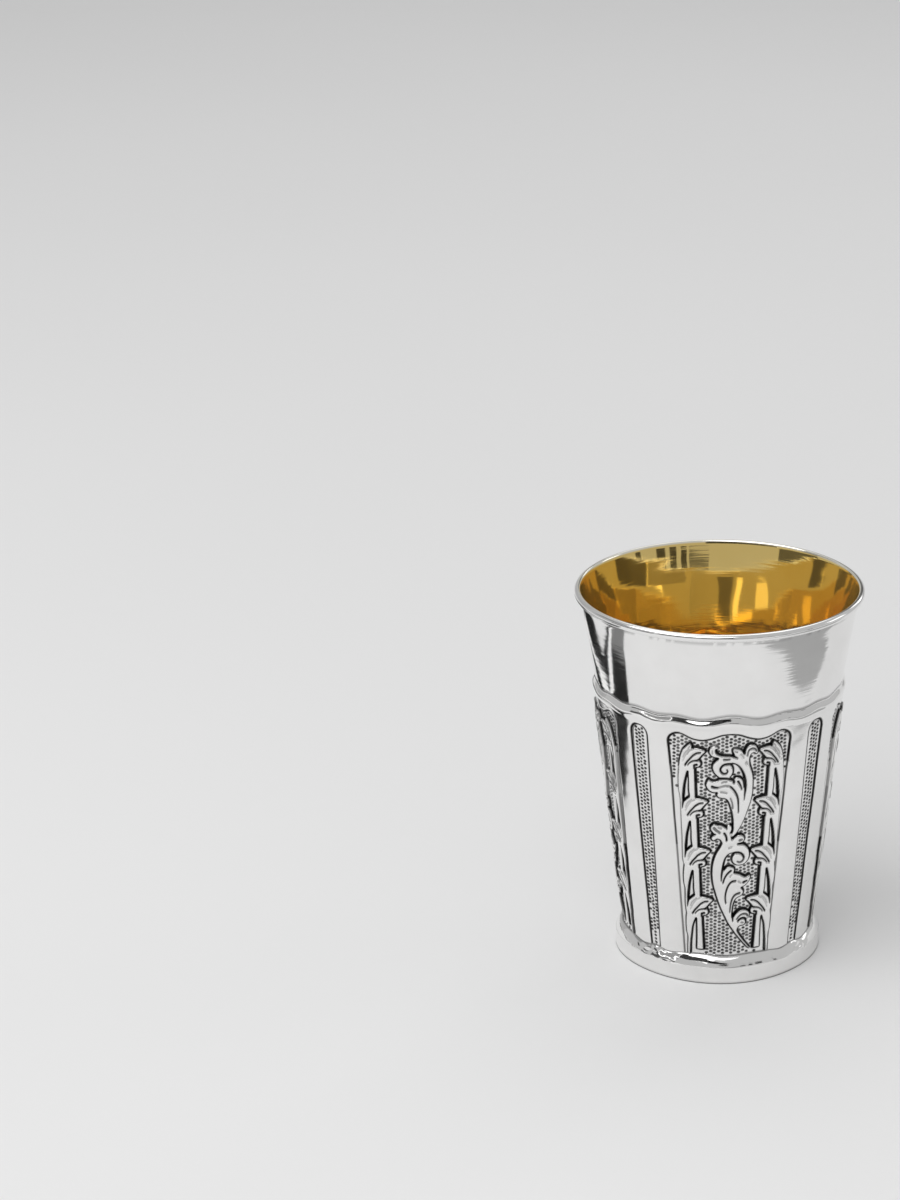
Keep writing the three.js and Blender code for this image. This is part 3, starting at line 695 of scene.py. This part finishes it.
def shoulder_and_collar():
    """Waved ridge, plain collar and the outer part of the rolled rim."""
    angles = ring_angles(480)
    low = around(angles, RIDGE_FOOT)
    top = around(angles, RIDGE_TOP)
    t_ridge = (np.arange(-1, 37) / 36 * (1 + RIDGE_LEAD) - RIDGE_LEAD)[:, None]
    z = low + (top - low) * t_ridge
    rise = spline(RIDGE_PROFILE)
    offset = np.interp(t_ridge, rise[:, 0], rise[:, 1])
    base = cone(z) + (collar(top) + RIDGE_OVER - cone(top)) * ease(t_ridge)
    rows_r, rows_z = [base + offset], [z]
    t_collar = np.linspace(0, 1, 26)[1:, None]
    z = top + (COLLAR_END - top) * t_collar
    rows_r.append(collar(z) + 0 * angles)
    rows_z.append(z)
    bead = np.linspace(-125, SEAM + 11, 20)[:, None] * DEG
    rows_r.append(RIM_RADIUS - BEAD_RADIUS + BEAD_RADIUS * np.cos(bead) + 0 * angles)
    rows_z.append(HEIGHT - BEAD_RADIUS + BEAD_RADIUS * np.sin(bead) + 0 * angles)
    r, z = np.vstack(rows_r), np.vstack(rows_z)
    large = WALL_DENTS + (COLLAR_DENTS - WALL_DENTS) * ease((z - 66) / 3)
    small = WALL_RIPPLES + (RIDGE_RIPPLES - WALL_RIPPLES) * ease((z - 65.2) / .6)
    small = small + (COLLAR_RIPPLES - RIDGE_RIPPLES) * ease((z - COLLAR[0]) / 1.5)
    # Painted shade in the crease along the top of the ridge, and painted shade under the rim's bead,
    # broken into dashes
    x, y = r * np.sin(angles), -r * np.cos(angles)
    level = UNDER_RIM_SHADE_LEVEL + 0 * z
    broken = ease((dents(x, y, level) + .7 * ripples(2 * x, 2 * y, level) + .2) / 1.1)
    dark = .6 * np.exp(-((z - top) / .12) ** 2)
    dark = dark + .9 * broken * np.exp(-((z - COLLAR_END - .15) / .15) ** 2)
    r = uneven(angles, r, z, large * ease((COLLAR_END - z) / 3), small)
    return surface("shoulder_collar_and_rim", angles, r, z, dark, closed=True)


def foot_and_base():
    """Flare and band of the foot, the ring it stands on and the recessed base plate."""
    angles = ring_angles(480)
    line = around(angles, FOOT_LINE)
    lobe = FOOT_LOBE * np.cos(PANELS * angles)
    p = spline(FLARE, 6)[::-1]
    out, z0 = p[:, :1], p[:, 1:]
    z = z0 + ease((z0 - 3) / 3.4) * (line - FLARE_TOP)
    r = CONE_BOTTOM[1] + out + lobe * np.clip(out / .9, 0, 1)
    turn = (angles / DEG + 180) % 360 - 180
    rough = sum(strength * np.exp(-((turn - at) / spread) ** 2) for at, spread, strength in ROUGH_SPOTS)
    rough = HAMMER_DEPTH * rough * ease((z0 - 3.6) / 1.2) * ease((FLARE_TOP - z0) / .5)
    hammered = lumps(r * np.sin(angles), -r * np.cos(angles), z) * rough
    off_floor = ease(z0)
    r = uneven(angles, r, z, WALL_DENTS * off_floor, WALL_RIPPLES * off_floor) + hammered
    # Darker along the foot line, and painted shadow along the edge that stands on the table
    dark = .8 * ease((z0 - 6.35) / .25) + .8 * ease((.45 - z0) / .3) + 0 * angles

    q = np.array(UNDERSIDE)
    under = np.vstack([np.linspace(a, b, 4)[:-1] for a, b in zip(q[:-1], q[1:])])
    # The first row lies past the middle and only gives the normals there
    under = np.vstack([[-2, BASE_RISE], under])
    under_r, under_z = under[:, :1] + 0 * angles, under[:, 1:] + 0 * angles
    under_dark = .4 * np.exp(-((under_r - 21.8) / .3) ** 2)
    return surface("foot_and_base", angles, np.vstack([under_r, r]), np.vstack([under_z, z]),
                   np.vstack([under_dark, dark]), closed=True)


def gilt_inside():
    """Inner part of the rim, the wall inside with the ridge showing through, and the floor."""
    angles = ring_angles(400)
    bead = np.linspace(SEAM - 6, 145, 14)[:, None] * DEG
    across = np.cos(bead) * np.where(np.cos(bead) > 0, BEAD_RADIUS, BEAD_INSIDE)
    r_bead = RIM_RADIUS - BEAD_RADIUS + across + 0 * angles
    z_bead = HEIGHT - BEAD_RADIUS + BEAD_RADIUS * np.sin(bead) + 0 * angles

    z_wall = np.concatenate([np.linspace(*rows) for rows in INNER_WALL])[:, None] + 0 * angles
    top, low = around(angles, RIDGE_TOP), around(angles, RIDGE_FOOT)
    t = np.clip((z_wall - low) / (top - low), 0, 1)
    ridge = RIDGE_INSIDE * np.sin(math.pi * t) ** 2
    between = cone(np.minimum(z_wall, low)) * (1 - t) + collar(np.maximum(z_wall, top)) * t
    outside = np.where(z_wall > top, collar(z_wall), between)
    above = z_wall - THIN_FROM
    thinning = THINNING / 2 * (above + np.sqrt(above ** 2 + 1))
    lip = LIP_CURVE * np.clip(z_wall - LIP_FROM, 0, None) ** 2
    r_wall = outside - WALL + ridge + thinning + lip

    bend = np.linspace(0, 90, 9)[:, None] * DEG
    radius, reach = CORNER
    r_corner = radius - reach * (1 - np.cos(bend)) + 0 * angles
    z_corner = FLOOR + reach * (1 - np.sin(bend)) + 0 * angles
    # The last row lies past the middle and only gives the normals there
    r_floor = np.append(np.linspace(FLOOR_RADIUS, CENTRE, 14), -1.4)[:, None] + 0 * angles
    z_floor = FLOOR + 0 * r_floor

    r = np.vstack([r_bead, r_wall, r_corner, r_floor])
    z = np.vstack([z_bead, z_wall, z_corner, z_floor])
    r = uneven(angles, r, z, COLLAR_DENTS * ease((COLLAR_END - z) / 3) * ease((z - 4) / 3), 0)
    # The gilding is worn thin on the outer side of the rim
    thin = ease((z - 88.1) / .5) * ease((r - 31.3) / .4)
    return surface("gilt_inside", angles, r, z, thin, closed=True)


# ---- materials ----
class Nodes:
    """Small helper for building a node tree."""

    def __init__(self, material):
        material.use_nodes = True
        self.tree = material.node_tree
        self.tree.nodes.clear()

    def add(self, kind, inputs=None, **settings):
        node = self.tree.nodes.new(kind)
        for key, value in settings.items():
            setattr(node, key, value)
        for key, value in (inputs or {}).items():
            if isinstance(value, bpy.types.NodeSocket):
                self.tree.links.new(value, node.inputs[key])
            else:
                node.inputs[key].default_value = value
        return node

    def ramp(self, value, stops):
        """Colour that runs between two stops, each a position and a colour."""
        node = self.add("ShaderNodeValToRGB", {"Fac": value})
        for element, (at, colour) in zip(node.color_ramp.elements, stops):
            element.position = at
            element.color = (*colour, 1)
        return node.outputs["Color"]

    def range(self, value, low, high, to_low, to_high):
        node = self.add("ShaderNodeMapRange", {"Value": value, "From Min": low, "From Max": high,
                                               "To Min": to_low, "To Max": to_high})
        return node.outputs["Result"]

    def noise(self, vector, scale, detail=3, roughness=.5):
        node = self.add("ShaderNodeTexNoise", {"Vector": vector, "Scale": scale, "Detail": detail,
                                               "Roughness": roughness})
        return node.outputs["Fac"]

    def stretched(self, vector, scale):
        node = self.add("ShaderNodeMapping", {"Vector": vector, "Scale": scale})
        return node.outputs["Vector"]

    def mix(self, factor, a, b, kind):
        node = self.add("ShaderNodeMix", {"Factor": factor, "A": a, "B": b}, data_type=kind)
        return node.outputs["Result"]

    def bump(self, height, strength, distance, below=None):
        """Normal bent by a height, on top of another bump where one is given."""
        inputs = {"Height": height, "Strength": strength, "Distance": distance}
        if below is not None:
            inputs["Normal"] = below
        return self.add("ShaderNodeBump", inputs).outputs["Normal"]

    def finish(self, inputs):
        shader = self.add("ShaderNodeBsdfPrincipled", inputs)
        self.add("ShaderNodeOutputMaterial", {"Surface": shader.outputs["BSDF"]})


def silver_material(name, smooth):
    """Polished silver with dark patina in its lines, and painted shade where the mask marks it; smooth
    areas are brighter polished.
    """
    material = bpy.data.materials.new(name)
    n = Nodes(material)
    where = n.add("ShaderNodeTexCoord").outputs["Object"]
    patina_wear_and_shade = n.add("ShaderNodeAttribute", attribute_name="patina_wear_and_shade").outputs["Fac"]
    cloud = n.noise(where, 90, 4, .6)
    clean = n.ramp(cloud, [(.3, (.88, .875, .867)), (.7, (.94, .936, .93))])
    tarnish_and_shade = n.ramp(n.noise(where, 700, 3), [(.3, (.006, .006, .007)), (.75, (.035, .034, .032))])
    mirror = .05 if smooth else .1
    haze = n.range(n.noise(where, 140, 5, .65), .3, .75, mirror, mirror + .07)
    lines = n.noise(n.stretched(where, (60, 60, 5200)), 1, 2)
    grain = n.noise(where, 2600, 3)
    turning = n.noise(n.stretched(where, (30, 30, 1300)), 1, 2)
    bump = n.bump(lines, .05 if smooth else .02, .00002)
    bump = n.bump(grain, .03, .00004, bump)
    bump = n.bump(turning, .4 if smooth else .1, .00004, bump)
    # The dark colour is patina in the lines and pits, and painted shade under the rim, along the
    # ridge's top and at the foot's edge
    n.finish({"Base Color": n.mix(patina_wear_and_shade, clean, tarnish_and_shade, "RGBA"), "Metallic": 1.0,
              "Roughness": n.mix(patina_wear_and_shade, haze, .5, "FLOAT"), "Normal": bump})
    return material


def gilt_material():
    """Yellow gilding, pale where it is thin, with fine lines running round the inside."""
    material = bpy.data.materials.new("gilding")
    n = Nodes(material)
    where = n.add("ShaderNodeTexCoord").outputs["Object"]
    thin = n.add("ShaderNodeAttribute", attribute_name="patina_wear_and_shade").outputs["Fac"]
    cloud = n.noise(where, 60, 4, .6)
    gold = n.ramp(cloud, [(.3, (.86, .635, .215)), (.7, (.90, .685, .26))])
    pale = n.ramp(cloud, [(.3, (.92, .90, .80)), (.7, (.96, .94, .86))])
    haze = n.range(n.noise(where, 120, 5, .65), .3, .75, .035, .08)
    lines = n.noise(n.stretched(where, (40, 40, 1500)), 1, 3)
    # Slightly less than metallic, so that light reflected many times over inside doesn't go black
    n.finish({"Base Color": n.mix(thin, gold, pale, "RGBA"), "Metallic": .92, "Roughness": haze,
              "Normal": n.bump(lines, .25, .00003)})
    return material


def plain_material(name, grey, roughness):
    """Matt paper-like surface of the studio."""
    material = bpy.data.materials.new(name)
    n = Nodes(material)
    cloud = n.noise(n.add("ShaderNodeTexCoord").outputs["Object"], 1.5, 2)
    shade = n.ramp(cloud, [(.3, (grey * .985,) * 3), (.7, (min(1, grey * 1.015),) * 3)])
    n.finish({"Base Color": shade, "Roughness": roughness, "Specular IOR Level": 0.0})
    return material


# ---- the studio ----
def aim(thing, target):
    direction = np.array(target) - np.array(thing.location)
    yaw = math.atan2(direction[0], -direction[1])
    flat = math.hypot(direction[0], direction[1])
    thing.rotation_euler = (math.atan2(flat, -direction[2]), 0, yaw + math.pi)


def around_cup(azimuth, elevation, distance):
    """Point seen from the cup's middle, at an azimuth (0 towards the camera, positive to its right)."""
    a, e = azimuth * DEG, elevation * DEG
    return (distance * math.cos(e) * math.sin(a), -distance * math.cos(e) * math.cos(a),
            .05 + distance * math.sin(e))


def area_light(name, place, target_height, size, power):
    data = bpy.data.lights.new(name, "AREA")
    data.shape = "RECTANGLE"
    data.size, data.size_y = size
    data.energy = power
    lamp = bpy.data.objects.new(name, data)
    lamp.location = place
    aim(lamp, (0, 0, target_height))
    bpy.context.scene.collection.objects.link(lamp)


def stage_piece(name, vertices, faces, material):
    mesh = bpy.data.meshes.new(name)
    mesh.from_pydata(vertices, [], faces)
    mesh.materials.append(material)
    thing = bpy.data.objects.new(name, mesh)
    bpy.context.scene.collection.objects.link(thing)
    return thing


def sweep():
    """Pale floor that curves up into a backdrop far behind the cup."""
    half, back, front, bend, top = 3.0, 2.2, -2.2, .8, 2.4
    profile = [(front, 0), (0, 0), (back, 0)]
    profile += [(back + bend * math.sin(a), bend * (1 - math.cos(a)))
                for a in np.linspace(0, math.pi / 2, 13)[1:]]
    profile.append((back + bend, top))
    vertices = [(x, y, z) for y, z in profile for x in (-half, half)]
    faces = [(2 * i, 2 * i + 1, 2 * i + 3, 2 * i + 2) for i in range(len(profile) - 1)]
    paper = stage_piece("studio_sweep", vertices, faces, plain_material("studio_paper", .80, .6))
    paper.data.shade_smooth()


def card(name, vertices, faces, shade, roughness):
    """Card that only reflections show."""
    thing = stage_piece(name, vertices, faces, plain_material(name + "_card", shade, roughness))
    thing.visible_camera = False
    thing.visible_diffuse = False
    thing.visible_shadow = False


def curved_card(name, azimuths, elevations, distance, shade):
    """Upright card curved round the cup."""
    columns, rows = 13, 5
    vertices = [around_cup(a, e, distance) for e in np.linspace(*elevations, rows)
                for a in np.linspace(*azimuths, columns)]
    faces = [(i + j * columns, i + 1 + j * columns, i + 1 + (j + 1) * columns, i + (j + 1) * columns)
             for j in range(rows - 1) for i in range(columns - 1)]
    card(name, vertices, faces, shade, .8)


def floor_card(name, shade, lift, outline_mm):
    """Card of any outline lying just over the floor."""
    vertices = [(x * MM, y * MM, lift * MM) for x, y in outline_mm]
    card(name, vertices, [range(len(vertices))], shade, .9)


# Upright cards stand in for the room that the silver reflects:
# name, azimuths and elevations in degrees, distance in metres, shade
UPRIGHT_CARDS = [
    ("dark_panel_front", (-20, 6), (18, 38), 1.0, .012),
    ("brown_panel_left", (-56, -20), (18, 38), 1.0, .03),
    ("dark_panel_left", (-95, -57), (2, 12), 1.0, .1),
    ("grey_panel_left", (-125, -57), (20, 40), 1.0, .4),
    ("brown_panel_front", (3, 20), (3.5, 9), 1.0, .16),
    ("dark_post_1", (22, 27), (3.5, 9), 1.0, .03),
    ("dark_post_2", (31, 37), (3.5, 9), 1.0, .03),
    ("dark_post_3", (41, 49), (3.5, 9), 1.0, .03),
    ("dark_post_4", (64, 69), (3.5, 9), 1.0, .03),
    ("dark_panel_back", (152, 174), (12, 34), 1.2, .12),
]
# Cards on the floor stand in for what lies beside the cup: name, shade, lift and outline in millimetres
FLOOR_CARDS = [
    ("grey_card_right", .42, .4,
     [(56, -165), (101, -88), (115, -42), (134, -10), (157, 17), (340, 80), (340, -165)]),
    ("dark_card_left", .02, .4,
     [(-84, 22), (-121, 9), (-155, -4), (-260, -30), (-260, 260), (-60, 260), (-78, 110), (-100, 70)]),
    ("grey_card_left", .22, .6,
     [(-136, 4), (-153, -3), (-260, -30), (-260, 30), (-155, 37), (-141, 46)]),
    ("light_card_left", .8, .8,
     [(-125, 92), (-127, 84), (-134, 78), (-152, 63), (-190, 46), (-190, 150), (-127, 138)]),
    ("light_strip_1", .95, .8,
     [(-104, 62), (-117, 56), (-135, 48), (-155, 40), (-190, 28), (-190, 38), (-155, 51), (-124, 66),
      (-110, 72)]),
    ("light_strip_2", .95, .8,
     [(-104, 62), (-113, 66), (-112, 86), (-104, 115), (-75, 190), (-66, 186), (-96, 118),
      (-102, 84)]),
]

sweep()
for upright in UPRIGHT_CARDS:
    curved_card(*upright)
for flat in FLOOR_CARDS:
    floor_card(*flat)
area_light("softbox_left", around_cup(-50, 48, 1.35), .04, (1.7, 1.5), 13)
area_light("softbox_back", around_cup(170, 60, 1.6), .04, (1.2, 1.0), 3)
area_light("strip_back", around_cup(141, 21, 1.5), .06, (.24, .5), .5)
area_light("strip_right", around_cup(99, 20, 1.5), .06, (.5, .45), .6)

world = bpy.data.worlds.new("studio_air")
world.use_nodes = True
world.node_tree.nodes["Background"].inputs["Color"].default_value = (1, 1, 1, 1)
world.node_tree.nodes["Background"].inputs["Strength"].default_value = .5
bpy.context.scene.world = world
bpy.context.scene.view_settings.view_transform = "Standard"


# ---- camera ----
PITCH = 19.93 * DEG
TURN = -1.094 * DEG            # the camera stands this far round from the first panel
ROLL = -1.2 * DEG
DISTANCE = 811.5
CUP_RIGHT, CUP_UP = 61.31, -40.27   # the cup's middle from the middle of the view
CUP_MIDDLE = (0, 0, 43.8)


def make_camera():
    """Long lens that looks down at the cup, which stands low at the right of the picture."""
    data = bpy.data.cameras.new("camera")
    data.lens = 105
    data.sensor_width = 36
    data.clip_start, data.clip_end = .05, 20
    camera = bpy.data.objects.new("camera", data)
    c, s = math.cos(PITCH), math.sin(PITCH)
    forward, right, up = np.array([0, c, -s]), np.array([1, 0, 0]), np.array([0, s, c])
    place = np.array(CUP_MIDDLE) - right * CUP_RIGHT - up * CUP_UP - forward * DISTANCE
    turn = np.array([[math.cos(TURN), -math.sin(TURN), 0], [math.sin(TURN), math.cos(TURN), 0],
                     [0, 0, 1]])
    rolled_right = right * math.cos(ROLL) + up * math.sin(ROLL)
    rolled_up = up * math.cos(ROLL) - right * math.sin(ROLL)
    axes = turn @ np.stack([rolled_right, rolled_up, -forward], axis=1)
    matrix = np.eye(4)
    matrix[:3, :3] = axes
    matrix[:3, 3] = turn @ place * MM
    camera.matrix_world = Matrix(matrix.tolist())
    bpy.context.scene.collection.objects.link(camera)
    bpy.context.scene.camera = camera


make_camera()

# ---- the pieces ----
relief_silver = silver_material("chased_silver", smooth=False)
plain_silver = silver_material("polished_silver", smooth=True)
gilding = gilt_material()

finished = [(piece, relief_silver, "polished_silver") for piece in wall_quarters()]
finished += [(shoulder_and_collar(), plain_silver, "polished_silver"),
             (foot_and_base(), plain_silver, "polished_silver"),
             (gilt_inside(), gilding, "gilt_inside")]
for piece, material, slot in finished:
    piece.data.materials.append(material)
    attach(piece, "root")
    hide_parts("beaker")
